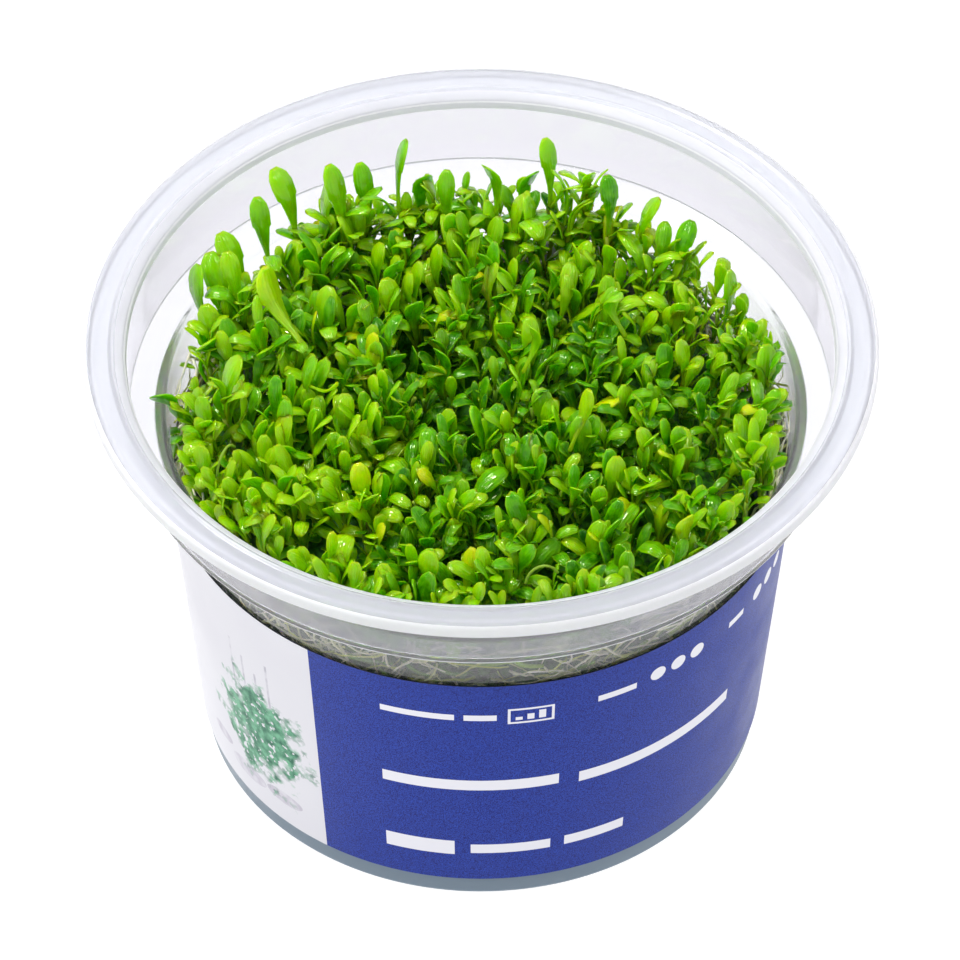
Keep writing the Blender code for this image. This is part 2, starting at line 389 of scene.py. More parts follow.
def zone_of(face):
    """The zone of the cup that a face belongs to."""
    height = face.center.z
    radius = math.hypot(face.center.x, face.center.y)
    # The ledge's outer corner takes the milky rim finish as a painted highlight, a bright line along the
    # corner.
    if LEDGE_UNDER - 0.05 * MM < height < LEDGE_UNDER + 0.4 * MM and radius > COLLAR - 0.5 * MM:
        return "rim"
    if faces_inwards(face) and BAND_LOW < height < LEDGE_TOP - 0.1 * MM:
        return "inner"
    if height > TOP - 2.6 * MM and radius < SEAT - 0.4 * MM:
        return "weld"
    if radius > RIM - 0.5 * MM:
        return "rim"
    if height < FOOT_TOP and radius > 0.5 * MM:
        return "foot"
    if LEDGE_UNDER - 1.8 * MM < height < LEDGE_TOP + 0.3 * MM:
        return "ledge"
    if height > TOP - 2.0 * MM:
        return "flange"
    return "collar" if height > LEDGE_TOP + 0.3 * MM else "body"


settle(cup, cup_plastics[0], "cup")
for plastic in cup_plastics[1:]:
    cup.data.materials.append(plastic)
for face in cup.data.polygons:
    face.material_index = ZONES.index(zone_of(face))
found = [ZONES[face.material_index] for face in cup.data.polygons]
print("Faces of each finish:", {zone: found.count(zone) for zone in ZONES})

# %% [markdown]
# ## What is left of the sealing film
# The cup was sold with a film welded on the sealing slope. It has been torn off, and a thin white line
# with ragged patches stays on the slope's inner edge. A circle's edge is extruded outwards, its outer
# points are pushed to uneven widths, and Solidify gives the scraps their thickness. A point's patch is
# mostly that of the point before it, so patches come out long, as a tear leaves them.

# %% Tear the film off
FILM_INNER = COLLAR - 0.45 * MM
FILM_HEIGHT = TOP - 1.42 * MM
LINE_WIDTH = 0.32  # of the white line, in mm
SLOPE = 0.62  # rise of the sealing slope for each unit outwards
FROM_LAST = 0.86  # what a point's patch keeps of the last one
film_random = random.Random(SEED)
film = open_circle("seal_film_rest", 3 * ROUND, FILM_INNER, FILM_HEIGHT)
bpy.ops.mesh.extrude_edges_move()
bpy.ops.object.mode_set(mode="OBJECT")
patch = 0.0
for vert in [vert for vert in film.data.vertices if vert.select]:
    patch = FROM_LAST * patch + film_random.uniform(-0.1, 0.1)
    width = (LINE_WIDTH + max(0.0, 1.5 * patch) + film_random.uniform(0.0, 0.06)) * MM
    vert.co.x *= 1.0 + width / FILM_INNER
    vert.co.y *= 1.0 + width / FILM_INNER
    vert.co.z += SLOPE * width
solid = film.modifiers.new("Thickness", "SOLIDIFY")
solid.thickness = 0.08 * MM
solid.offset = 1.0
apply_modifiers(film)
film_settings = {"Roughness": 0.35, "Specular IOR Level": 0.5, "Transmission Weight": 0.4}
film_white = paint("torn_film", film_settings)
fibres = cloudy(film_white, 1500.0, 4.0)
film_tone = blend_colours(film_white, fibres, (0.8, 0.81, 0.85, 1.0), (0.95, 0.95, 0.97, 1.0))
feed(film_white, "Base Color", film_tone)
settle(film, film_white, None)
print("Film scraps:", len(film.data.polygons), "faces")

# %% [markdown]
# ## The printed sleeve
# The sleeve is a strip of white film, printed dark blue, with a white panel on its left. It could be a
# bent sheet, but its thickness shows as a thin line at its edge, so it is turned like the cup, as a
# closed ring.

# %% Turn the sleeve
label_low, label_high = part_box("label")
SLEEVE = 0.22 * MM
SLEEVE_OUTSIDE = 0.3 * MM
sleeve_top = body_radius(label_high.z) + SLEEVE_OUTSIDE
sleeve_foot = body_radius(label_low.z) + SLEEVE_OUTSIDE
sleeve_section = [
    (sleeve_top - SLEEVE, label_high.z),
    (sleeve_top, label_high.z),
    (sleeve_foot, label_low.z),
    (sleeve_foot - SLEEVE, label_low.z),
    (sleeve_top - SLEEVE, label_high.z),
]
label = turn("label_sleeve", sleeve_section, closed=True)
print("The sleeve's height in mm:", round((label_high.z - label_low.z) / MM, 1))

# %% [markdown]
# The print is worked out from each point's angle and height, in millimetres round the sleeve and up
# the cup, so it needs no image and stays sharp at any size. Plain bars, dots and a box give it the
# rhythm of a printed label.

# %% Print on the sleeve
PANEL_RIGHT = -22.8
PANEL_LEFT = -84.0
ABOVE_ALL = 60.0
WHITE_INK = (0.78, 0.78, 0.84, 1.0)
ink = paint("label_print", {"Specular IOR Level": 0.18})
xyz = wire(ink, "SeparateXYZ", {"Vector": object_place(ink)}).outputs
turn_angle = reckon(ink, "ARCTAN2", xyz["X"], reckon(ink, "MULTIPLY", xyz["Y"], -1.0))
along_mm = reckon(ink, "MULTIPLY", turn_angle, label_high.x / MM)
up_mm = reckon(ink, "MULTIPLY", xyz["Z"], 1.0 / MM)


def bar(left, right, low, high):
    """1 inside a printed bar, in mm round the sleeve and up the cup."""
    beside = reckon(ink, "COMPARE", along_mm, 0.5 * (left + right), 0.5 * (right - left))
    within = reckon(ink, "COMPARE", up_mm, 0.5 * (low + high), 0.5 * (high - low))
    return reckon(ink, "MULTIPLY", beside, within)


def frame_box(left, right, low, high, line):
    """The outline of a box."""
    inner = bar(left + line, right - line, low + line, high - line)
    return reckon(ink, "SUBTRACT", bar(left, right, low, high), inner)


def off_centre(centre, half_width, half_height):
    """The square of a point's distance from a centre, where an oval's edge is at 1."""
    across = reckon(ink, "DIVIDE", reckon(ink, "SUBTRACT", along_mm, centre[0]), half_width)
    upright = reckon(ink, "DIVIDE", reckon(ink, "SUBTRACT", up_mm, centre[1]), half_height)
    return reckon(ink, "ADD", reckon(ink, "POWER", across, 2.0), reckon(ink, "POWER", upright, 2.0))


def oval(centre, half_width, half_height):
    """1 inside a printed oval."""
    return reckon(ink, "LESS_THAN", off_centre(centre, half_width, half_height), 1.0)


def either(masks):
    total = masks[0]
    for mask in masks[1:]:
        total = reckon(ink, "MAXIMUM", total, mask)
    return total


# %% Print the blue side
speckle = cloudy(ink, 7500.0, 1.0)
dark_blue, light_blue = (0.0005, 0.008, 0.15, 1.0), (0.014, 0.055, 0.42, 1.0)
blue = blend_colours(ink, stretch(ink, speckle, 0.4, 0.64), dark_blue, light_blue)
BARS = [  # left, right, low, high
    (-13.0, -3.4, 36.5, 37.6), (-2.2, 2.0, 36.5, 37.6), (15.2, 20.6, 37.1, 38.2),
    (36.4, 39.6, 37.2, 38.3), (-13.2, 10.4, 22.2, 24.2), (13.2, 38.4, 21.6, 23.6),
    (-13.2, -3.6, 8.6, 11.4), (-1.4, 9.6, 9.0, 10.8), (11.6, 20.4, 9.0, 10.8),
]
DOT_ROWS = [(23.8, 38.1), (43.2, 38.0)]
DOT = 1.15
marks = [bar(*edges) for edges in BARS]
marks.append(frame_box(3.4, 9.4, 35.7, 38.7, 0.35))
marks += [bar(4.4 + 1.5 * step, 5.3 + 1.5 * step, 36.4, 37.0 + 0.5 * step) for step in range(3)]
marks += [oval((left + 3.2 * step, high), DOT, DOT) for left, high in DOT_ROWS for step in range(3)]
marks += [bar(88.0, 116.0 - 3.0 * (row % 4), 35.0 - 2.6 * row, 35.9 - 2.6 * row) for row in range(9)]
printed = blend_colours(ink, either(marks), blue, WHITE_INK)
print("Printed marks:", len(marks))

# %% [markdown]
# The white panel shows a round clump of small leaves, a few reeds and some pebbles. An oval whose edge
# is broken by coarse noise gives the clump, and finer noise inside it gives leaf specks in two greens,
# denser towards the middle.

# %% Draw the clump on the panel
CLUMP = (-34.0, 19.0)
CLUMP_HALF = (7.6, 9.5)
PEBBLES = [((-30.0, 8.4), 3.4, 1.2), ((-37.6, 8.0), 4.0, 1.4), ((-44.0, 10.0), 2.6, 1.0)]


def share_of(mask, scale, low, high):
    """How strongly a mask is printed: between low and high, by a noise."""
    return reckon(ink, "MULTIPLY", mask, stretch(ink, cloudy(ink, scale), 0.35, 0.6, low, high))


frayed = stretch(ink, cloudy(ink, 330.0, 3.0), 0.3, 0.7, -0.45, 0.45)
ragged = reckon(ink, "ADD", reckon(ink, "SQRT", off_centre(CLUMP, *CLUMP_HALF)), frayed)
clump_share = stretch(ink, ragged, 0.75, 1.15, 1.0, 0.0)
leaf_speck = reckon(ink, "ADD", cloudy(ink, 1150.0, 2.0), reckon(ink, "MULTIPLY", clump_share, 0.16))
drawn = reckon(ink, "MULTIPLY", clump_share, stretch(ink, leaf_speck, 0.5, 0.57))
leaf_shade = stretch(ink, cloudy(ink, 780.0, 3.0), 0.35, 0.65)
greens = blend_colours(ink, leaf_shade, (0.008, 0.13, 0.07, 1.0), (0.15, 0.43, 0.26, 1.0))
pale, paler = (0.655, 0.645, 0.71, 1.0), (0.715, 0.715, 0.755, 1.0)
panel_white = blend_colours(ink, cloudy(ink, 60.0), pale, paler)
pebbles = either([oval(*pebble) for pebble in PEBBLES])
reeds = either([bar(-38.0 + 2.4 * n, -37.6 + 2.4 * n, 24.0, 34.5 - 1.7 * (n % 3)) for n in range(4)])
pebble_share = share_of(pebbles, 600.0, 0.15, 0.6)
reed_share = share_of(reeds, 500.0, 0.1, 0.7)
with_pebbles = blend_colours(ink, pebble_share, panel_white, (0.4, 0.36, 0.46, 1.0))
with_reeds = blend_colours(ink, reed_share, with_pebbles, (0.36, 0.34, 0.42, 1.0))
panel = blend_colours(ink, drawn, with_reeds, greens)
on_panel = bar(PANEL_LEFT, PANEL_RIGHT, 0.0, ABOVE_ALL)
feed(ink, "Base Color", blend_colours(ink, on_panel, printed, panel))
uneven_gloss(ink, cloudy(ink, 150.0), 0.3, 0.4)
raise_grain(ink, speckle, 0.06, 0.05 * MM)
print("The clump's middle, in mm round and up:", CLUMP)

# %% [markdown]
# The sleeve's back is plain white film, which shows through the cup's clear wall from inside. Its cut
# edge is painted near black as a painted shadow, the thin dark line that the edge's step casts.

# %% Give the sleeve its finishes
# Painted shadow: the sleeve's cut edges are near black, for the shade of the edge's step.
sleeve_edge_shadow = paint("sleeve_edge_shadow", {"Base Color": (0.02, 0.022, 0.03, 1.0), "Roughness": 0.5})
sleeve_back = paint("sleeve_back", {"Specular IOR Level": 0.3})
back_dark, back_light = (0.72, 0.73, 0.8, 1.0), (0.84, 0.84, 0.9, 1.0)
back_tone = blend_colours(sleeve_back, cloudy(sleeve_back, 80.0), back_dark, back_light)
feed(sleeve_back, "Base Color", back_tone)
uneven_gloss(sleeve_back, cloudy(sleeve_back, 300.0), 0.4, 0.6)
settle(label, ink, "label", 30.0)
label.data.materials.append(sleeve_edge_shadow)
label.data.materials.append(sleeve_back)
for face in label.data.polygons:
    face.material_index = 1 if abs(face.normal.z) > 0.8 else 2 if faces_inwards(face) else 0
print("Faces of the sleeve:", len(label.data.polygons))

# %% [markdown]
# ## The gel
# The plants root in clear nutrient gel. It takes the shape of the cup's bottom and creeps up the wall
# a little at its edge. It could be a flat disc, but the raised edge is what shows that it was poured.

# %% Pour the gel
gel_low, gel_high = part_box("gel")
GAP = 0.2 * MM
GEL_MIDDLE = 20.0 * MM
CREEP = 0.7 * MM  # how far the gel's edge stands above its middle
gel_section = rounded(
    [
        (GEL_MIDDLE, gel_high.z - CREEP, 0.0),
        (body_radius(gel_high.z) - WALL - 2.6 * MM, gel_high.z - CREEP, 0.8 * MM),
        (body_radius(gel_high.z) - WALL - GAP, gel_high.z, 0.1 * MM),
        (body_radius(gel_low.z) - WALL - GAP, gel_low.z, 1.6 * MM),
        (GEL_MIDDLE, gel_low.z, 0.0),
    ]
)
gel = turn("gel_block", gel_section)
gel_clear = paint(
    "nutrient_gel",
    {"Base Color": (0.88, 0.92, 0.9, 1.0), "Roughness": 0.06, "IOR": 1.34, "Transmission Weight": 0.9},
)
raise_grain(gel_clear, cloudy(gel_clear, 160.0), 0.2, 0.4 * MM)
settle(gel, gel_clear, "gel")
print("The gel's depth in mm:", round((gel_high.z - gel_low.z) / MM, 1))

# %% [markdown]
# ## One leaf, modelled once
# A leaf of this plant is a spatula: a narrow stalk that widens into a rounded blade, thick and glossy,
# often with its tip curled back. A flattened sphere of six segments already has a round tip, a
# closed skin and few faces. Each of its rings is scaled to the blade's width there, its edges are
# pulled up to make a trough, and it is turned along a curved midrib.

# %% Shape the leaves
LEAF_THICKNESS = 0.06
CURL_FROM = 0.35  # the share of its length from which a leaf curls
LEAF_RINGS = [  # height, width and thickness, as shares of the leaf's own
    (0.10, 0.25, 1.0),
    (0.26, 0.22, 0.85),
    (0.38, 0.32, 0.78),
    (0.49, 0.52, 0.75),
    (0.60, 0.75, 0.75),
    (0.71, 0.93, 0.72),
    (0.82, 1.0, 0.66),
    (0.905, 0.86, 0.6),
    (0.962, 0.62, 0.5),
    (0.991, 0.32, 0.4),
]


def measure(piece, name, values):
    """Keeps one number for each point of the mesh, for the shader."""
    piece.data.attributes.new(name, "FLOAT", "POINT").data.foreach_set("value", values)


def shape_leaf(name, width, curl, trough):
    """A leaf 1 mm long that grows up from the origin, with its upper side towards -X.

    Curl is in degrees. Width and trough are shares of the length and of the width."""
    bpy.ops.object.select_all(action="DESELECT")
    bpy.ops.mesh.primitive_uv_sphere_add(segments=6, ring_count=11, radius=0.5, location=(0.0, 0.0, 0.0))
    leaf = name_piece(bpy.context.object, name)
    bpy.ops.object.mode_set(mode="EDIT")
    bpy.ops.mesh.select_all(action="SELECT")
    bpy.ops.transform.rotate(value=0.5 * math.pi, orient_axis="Z", center_override=(0.0, 0.0, 0.0))
    bpy.ops.object.mode_set(mode="OBJECT")
    points = [vert.co.copy() for vert in leaf.data.vertices]
    heights = sorted({round(point.z, 4) for point in points})
    ring_of = [heights.index(round(point.z, 4)) for point in points]
    shares = [0.0] + [share for share, _, _ in LEAF_RINGS] + [1.0]
    spread = [max(0.001, math.hypot(point.x, point.y)) for point in points]
    across = [point.y / reach for point, reach in zip(points, spread)]
    measure(leaf, "along", [shares[ring] for ring in ring_of])
    measure(leaf, "across", across)
    measure(leaf, "under", [1.0 if point.x > 0.01 else 0.0 for point in points])
    measure(leaf, "tone", [0.5] * len(points))
    spine = Vector((0.0, 0.0, 0.0))
    for ring, share in enumerate(shares):
        members = [number for number, at in enumerate(ring_of) if at == ring]
        step = share - shares[max(ring - 1, 0)]
        lean = math.radians(curl) * max(0.0, (share - CURL_FROM) / (1.0 - CURL_FROM)) ** 1.7
        spine += Vector((math.sin(lean), 0.0, math.cos(lean))) * step * MM
        centre = Vector((0.0, 0.0, heights[ring]))
        pick(leaf, members)
        if 0 < ring < len(shares) - 1:
            _, wide, thick = LEAF_RINGS[ring - 1]
            half_width = 0.5 * width * wide * MM
            half_thickness = 0.5 * LEAF_THICKNESS * thick * MM
            flatten = (half_thickness / spread[members[0]], half_width / spread[members[0]], 1.0)
            bpy.ops.transform.resize(value=flatten, center_override=centre)
            bpy.ops.transform.translate(value=spine - centre)
            bpy.ops.transform.rotate(value=-lean, orient_axis="Y", center_override=spine)
            pick(leaf, [number for number in members if abs(across[number]) > 0.9])
            lift = 2.0 * trough * half_width
            bpy.ops.transform.translate(value=(-lift * math.cos(lean), 0.0, lift * math.sin(lean)))
        else:
            bpy.ops.transform.translate(value=spine - centre)
        bpy.ops.object.mode_set(mode="OBJECT")
    take_up(leaf)
    bpy.ops.object.shade_smooth()
    return leaf


leaf_kinds = [
    shape_leaf("leaf_upright", 0.30, 24.0, 0.16),
    shape_leaf("leaf_curled", 0.31, 125.0, 0.10),
    shape_leaf("leaf_hooded", 0.33, -48.0, 0.20),
    shape_leaf("leaf_bent", 0.30, 80.0, 0.08),
    shape_leaf("leaf_narrow", 0.21, 45.0, 0.16),
    shape_leaf("leaf_folded", 0.27, 100.0, 0.26),
    shape_leaf("leaf_round", 0.36, 40.0, 0.08),
]
print("A leaf has", len(leaf_kinds[0].data.polygons), "faces")

# %% [markdown]
# ## Stems and roots, modelled once
# Stems are pale, juicy and about half a millimetre thick, and roots are finer. Both are a thin
# cylinder with a few rings, each ring pushed a little off the line, so that no stem is straight.

# %% Shape the stems
STEM_RINGS = 6


def scatter(rng, reach):
    """A level push in any direction."""
    return Vector((rng.uniform(-reach, reach), rng.uniform(-reach, reach), 0.0))


def shape_stem(name, sides, wander, taper, seed):
    """A stem of length 1 mm and radius 1 mm at its foot, bent off its line by wander radii."""
    rng = random.Random(seed)
    stem = open_circle(name, sides, 1.0 * MM)
    bpy.ops.mesh.edge_face_add()
    drift = scatter(rng, 1.0) * wander * MM
    for ring in range(1, STEM_RINGS + 1):
        bpy.ops.mesh.extrude_edges_move()
        bend = math.cos(math.pi * ring / STEM_RINGS)
        jitter = scatter(rng, 0.3) * wander * MM
        bpy.ops.transform.translate(value=drift * bend + jitter + Vector((0.0, 0.0, MM / STEM_RINGS)))
        bpy.ops.transform.resize(value=(taper, taper, 1.0))
    bpy.ops.mesh.edge_face_add()
    bpy.ops.mesh.select_all(action="SELECT")
    bpy.ops.mesh.normals_make_consistent(inside=False)
    bpy.ops.object.mode_set(mode="OBJECT")
    measure(stem, "along", [vert.co.z / MM for vert in stem.data.vertices])
    for attribute in ("across", "under", "tone"):
        measure(stem, attribute, [0.0] * len(stem.data.vertices))
    take_up(stem)
    bpy.ops.object.shade_smooth()
    return stem


stem_kinds = [shape_stem(f"stem_{kind}", 6, 0.7, 0.97, kind) for kind in range(3)]
arch_kinds = [shape_stem("stem_plain", 6, 0.06, 1.0, 9)]
root_kinds = [shape_stem(f"root_{kind}", 5, 4.5, 0.93, 10 + kind) for kind in range(6)]
print("A stem has", len(stem_kinds[0].data.polygons), "faces")

# %% [markdown]
# ## The green
# A leaf is translucent and waxy: light passes through and comes out yellow-green, and the sky shines
# on it. The shader reads what was kept for each point: how far along the leaf it is, how near the rim,
# on which side, and one tone for the whole leaf, so that no two neighbours are alike. The tone also
# carries painted light and shade from where the leaf grows. The blade is painted darker towards its
# foot as painted shade, and paler at its rim as painted light through the thin edge.

# %% Finish of the leaves
leaf_green = paint(
    "leaf_green",
    {
        "Specular IOR Level": 0.62,
        "Specular Tint": (0.92, 1.0, 0.6, 1.0),
        "Subsurface Weight": 0.75,
        "Subsurface Radius": (0.5, 1.0, 0.01),
        "Subsurface Scale": 1.4 * MM,
    },
)


def kept(material, name):
    return wire(material, "Attribute", {}, attribute_name=name).outputs["Fac"]


def by_tone(low, high, first, second):
    """Passes from one colour to the next as the leaf's tone goes from low to high."""
    return blend_colours(leaf_green, stretch(leaf_green, leaf_tone, low, high), first, second)


leaf_tone = kept(leaf_green, "tone")
leaf_across = kept(leaf_green, "across")
leaf_along = kept(leaf_green, "along")
deep = by_tone(0.0, 0.55, (0.003, 0.11, 0.0002, 1.0), (0.085, 0.36, 0.0005, 1.0))
fresh = by_tone(0.5, 1.0, deep, (0.4, 0.72, 0.001, 1.0))
young = by_tone(0.9, 1.0, fresh, (0.62, 0.84, 0.004, 1.0))
# Painted shade: the blade is darker green towards its foot, where it lies deeper among the leaves.
base_shade_share = stretch(leaf_green, leaf_along, 0.35, 0.85, 0.55, 0.0)
base_shaded = blend_colours(leaf_green, base_shade_share, young, (0.02, 0.16, 0.0003, 1.0))
mottle = cloudy(leaf_green, 800.0, 4.0)
mottle_share = stretch(leaf_green, mottle, 0.4, 0.7, 0.0, 0.45)
mottled = blend_colours(leaf_green, mottle_share, base_shaded, (0.24, 0.68, 0.001, 1.0))
# Painted light: the blade is paler near its rim, for light shining through the thin edge.
rim_share = reckon(leaf_green, "ABSOLUTE", leaf_across)
painted_rim_light = stretch(leaf_green, rim_share, 0.6, 1.0, 0.0, 0.5)
rim_lit = blend_colours(leaf_green, painted_rim_light, mottled, (0.34, 0.8, 0.002, 1.0))
under_share = reckon(leaf_green, "MULTIPLY", kept(leaf_green, "under"), 0.25)
backed = blend_colours(leaf_green, under_share, rim_lit, (0.4, 0.7, 0.01, 1.0))
stalk = stretch(leaf_green, leaf_along, 0.1, 0.5, 0.8, 0.0)
feed(leaf_green, "Base Color", blend_colours(leaf_green, stalk, backed, (0.42, 0.66, 0.012, 1.0)))
feed(leaf_green, "Roughness", stretch(leaf_green, mottle, 0.35, 0.65, 0.07, 0.18))
veins = reckon(leaf_green, "SINE", reckon(leaf_green, "MULTIPLY", leaf_across, 22.0))
grain = reckon(leaf_green, "ADD", mottle, reckon(leaf_green, "MULTIPLY", veins, 0.13))
raise_grain(leaf_green, grain, 0.75, 0.15 * MM)
print("Leaf finish:", leaf_green.name)

# %% [markdown]
# Stems pass from green to straw yellow, and roots from there to near white. One material serves both:
# a tone above 1 makes a root, so a piece can hold stems and roots without more slots.

# %% Finish of the stems and roots
stem_green = paint(
    "stem_green",
    {
        "Specular IOR Level": 0.3,
        "Subsurface Weight": 0.3,
        "Subsurface Radius": (0.6, 0.9, 0.1),
        "Subsurface Scale": 1.0 * MM,
    },
)
stem_tone = kept(stem_green, "tone")
root_share = stretch(stem_green, stem_tone, 1.0, 1.4)
green_end, straw_end = (0.05, 0.3, 0.004, 1.0), (0.55, 0.62, 0.07, 1.0)
stem_colour = blend_colours(stem_green, stem_tone, green_end, straw_end)
streaks = cloudy(stem_green, 500.0)
streak_share = stretch(stem_green, streaks, 0.4, 0.8, 0.0, 0.4)
streaked = blend_colours(stem_green, streak_share, stem_colour, (0.3, 0.45, 0.03, 1.0))
stem_or_root = blend_colours(stem_green, root_share, streaked, (0.97, 0.95, 0.72, 1.0))
feed(stem_green, "Base Color", stem_or_root)
uneven_gloss(stem_green, streaks, 0.3, 0.5)
print("Stem finish:", stem_green.name)

# %% [markdown]
# ## Growing shoots
# A shoot is a stem with pairs of leaves, each pair a quarter turn from the one below. The leaves below
# stand out and those above stand up. Each leaf is a copy with its own mesh, moved to its place before
# all are joined, because hundreds of loose objects would be slow and hard to pick.

# %% Helpers for planting
UP = Vector((0.0, 0.0, 1.0))
LEAF_SHARES = (3, 1.3, 2, 1.2, 2, 1, 2)  # how often each kind of leaf grows
LEAFY = 0.8  # the share of a low shoot's stem, from the top, that bears leaves
LEAFY_TALL = 0.5
YELLOW_SHARE = 0.012
SHADY_MIDDLE = Vector((-12.0, 14.0)) * MM
SHADY_REACH, SHADY_EDGE = 12.0 * MM, 22.0 * MM
BRIGHT_LEFT, BRIGHT_BACK = -12.0 * MM, 11.0 * MM


def level(bearing):
    """The level direction at a bearing in radians."""
    return Vector((math.cos(bearing), math.sin(bearing), 0.0))


def light_at(place):
    """What the light adds to the tone of leaves: little in the middle of the cushion, more towards
    its front and right, and most at its left and back."""
    from_middle = math.hypot(place.x - SHADY_MIDDLE.x, place.y - SHADY_MIDDLE.y)
    lit = 0.32 * min(1.0, max(0.0, (from_middle - SHADY_REACH) / SHADY_EDGE)) - 0.1
    return lit + (0.42 if place.x < BRIGHT_LEFT or place.y > BRIGHT_BACK else 0.0)


def plant_copy(kind, matrix, tone, material):
    """A copy of a leaf or a stem with its own mesh, put in place."""
    copy = kind.copy()
    copy.data = kind.data.copy()
    copy.data.transform(matrix)
    copy.data.attributes["tone"].data.foreach_set("value", [tone] * len(copy.data.vertices))
    copy.data.materials.append(material)
    bpy.context.scene.collection.objects.link(copy)
    return copy


def put_leaf(rng, foot, axis, heading, tilt, length, width_scale=1.0, kinds=None, tone=None):
    """A leaf at foot that leans by tilt degrees from axis towards heading degrees."""
    kind = rng.choice(kinds) if kinds else rng.choices(leaf_kinds, LEAF_SHARES)[0]
    upright = UP.rotation_difference(axis).to_matrix().to_4x4()
    turned = Euler((0.0, math.radians(tilt), math.radians(heading))).to_matrix().to_4x4()
    rolled = Matrix.Rotation(math.radians(rng.uniform(-25.0, 25.0)), 4, "Z")
    size = Matrix.Diagonal((length / MM, length / MM * width_scale, length / MM, 1.0))
    matrix = Matrix.Translation(foot) @ upright @ turned @ rolled @ size
    return plant_copy(kind, matrix, rng.random() if tone is None else tone, leaf_green)


def put_stem(rng, foot, top, radius, tone, kinds=None):
    """A stem from foot to top."""
    kind = rng.choice(kinds or stem_kinds)
    along = top - foot
    upright = UP.rotation_difference(along).to_matrix().to_4x4()
    spin = Matrix.Rotation(rng.uniform(0.0, TURN), 4, "Z")
    size = Matrix.Diagonal((radius / MM, radius / MM, along.length / MM, 1.0))
    return plant_copy(kind, Matrix.Translation(foot) @ upright @ spin @ size, tone, stem_green)


# %% Helper that grows a shoot


def grow_shoot(rng, foot, tip, pairs, leaf_length, tone, leafy=LEAFY):
    """A shoot that rises from foot, and whose highest leaf reaches tip. Leafy is the share of
    its stem, from the top, that bears leaves. A shoot with a bare foot has a paler stem."""
    axis = (tip - foot).normalized()
    stem_length = max(1.2 * MM, (tip - foot).length - 0.9 * leaf_length)
    top = foot + axis * stem_length
    pale = 0.3 if leafy == LEAFY else 0.75
    made = [put_stem(rng, foot, top, rng.uniform(0.22, 0.34) * MM, rng.uniform(pale, pale + 0.3))]
    turned = rng.uniform(0.0, 360.0)
    # Painted light: the tone rises where the cushion is lit and falls in its shaded middle.
    tone += light_at(tip)
    for pair in range(pairs):
        down = pair / max(1, pairs - 1)
        place = top - axis * stem_length * leafy * down
        for side in (0.0, 180.0):
            tilt = 3.0 + 24.0 * down + rng.uniform(-7.0, 14.0)
            length = leaf_length * rng.uniform(0.78, 1.08) * (1.0 - 0.15 * down)
            # Lower pairs get a darker tone, painted shade under the leaves above.
            shade = min(0.9, max(0.0, tone + rng.uniform(-0.35, 0.3) - 0.25 * down))
            shade = 1.0 if rng.random() < YELLOW_SHARE else shade
            heading = turned + side + rng.uniform(-25.0, 25.0)
            width = rng.uniform(0.8, 1.12)
            made.append(put_leaf(rng, place, axis, heading, tilt, length, width, tone=shade))
        turned += 90.0
    return made


# %% Helpers that finish a tuft
PRESSED = 0.12 * MM  # the room between what is pressed to the body's wall and the wall
FREE_OF_COLLAR = 1.3 * MM


def keep_inside(piece):
    """Presses what would reach through the cup's wall against its inner side."""
    for vert in piece.data.vertices:
        above_ledge = vert.co.z > LEDGE_TOP + 0.2 * MM
        wall = COLLAR - FREE_OF_COLLAR if above_ledge else body_radius(vert.co.z) - WALL - PRESSED
        radius = math.hypot(vert.co.x, vert.co.y)
        if radius > wall:
            vert.co.x *= wall / radius
            vert.co.y *= wall / radius


def leafy_piece(name, made, node=None):
    """Joins leaves and stems into a piece that rides in the frame."""
    tuft = join(name, made)
    keep_inside(tuft)
    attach(tuft, "root")
    if node is not None:
        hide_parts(node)
    return tuft


# %% [markdown]
# ## Plantlets
# Each plantlet of the frame becomes a tuft: one shoot where the solid stands and a few side shoots
# round it, which together fill the room up to the next plantlet. Their feet go deeper than the solid's,
# into the mat, so that dark gaps open between the stems.

# %% Grow the plantlets
MAT_FLOOR = 46.2 * MM
WALL_LIMIT = 37.6 * MM
TALL_FROM = 11.0 * MM  # a solid higher than this becomes a tall tuft
OUTWARD_LEAN = 0.05
SIDE_LENGTHS = (5.8, 7.2, 8.2, 9.2)
tufts = []
for number, node in enumerate(plantlet_nodes):
    rng = random.Random(SEED + number)
    low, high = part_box(node)
    centre = (low + high) / 2.0
    tall = high.z - low.z > TALL_FROM
    outwards = Vector((centre.x, centre.y, 0.0)) * OUTWARD_LEAN
    foot = Vector((centre.x, centre.y, MAT_FLOOR))
    tip = Vector((centre.x, centre.y, high.z - (2.0 * MM if tall else 0.0))) + outwards
    leafy = LEAFY_TALL if tall else LEAFY
    length = rng.uniform(8.2, 10.2) * MM
    made = grow_shoot(rng, foot, tip, 4 if tall else 3, length, rng.uniform(0.25, 0.7), leafy)
    side_shoots = 5 if tall else 6
    first = rng.uniform(0.0, TURN)
    for shoot in range(side_shoots):
        bearing = first + TURN * shoot / side_shoots + rng.uniform(-0.4, 0.4)
        spot = foot + level(bearing) * rng.uniform(1.8, 4.2) * MM
        if math.hypot(spot.x, spot.y) > WALL_LIMIT:
            continue
        side_tip = spot + 1.5 * outwards + scatter(rng, 2.2) * MM
        drop = rng.uniform(4.6, 8.6) if tall else rng.uniform(-0.3, 2.6)
        side_tip.z = high.z - drop * MM
        length = rng.choice(SIDE_LENGTHS) * rng.uniform(0.92, 1.08) * (1.1 if tall else 1.0) * MM
        made += grow_shoot(rng, spot, side_tip, 3, length, rng.uniform(0.1, 0.8), leafy)
    tufts.append(leafy_piece(node + "_tuft", made, node))
print("Tufts:", len(tufts), "with", sum(len(tuft.data.polygons) for tuft in tufts), "faces")

# %% [markdown]
# ## Leaves at the wall
# Where the cushion ends, shoots lean out over the ledge towards the light. They could be more tufts,
# but a ring of small shoots of their own follows the wall evenly and closes the gaps between tufts.

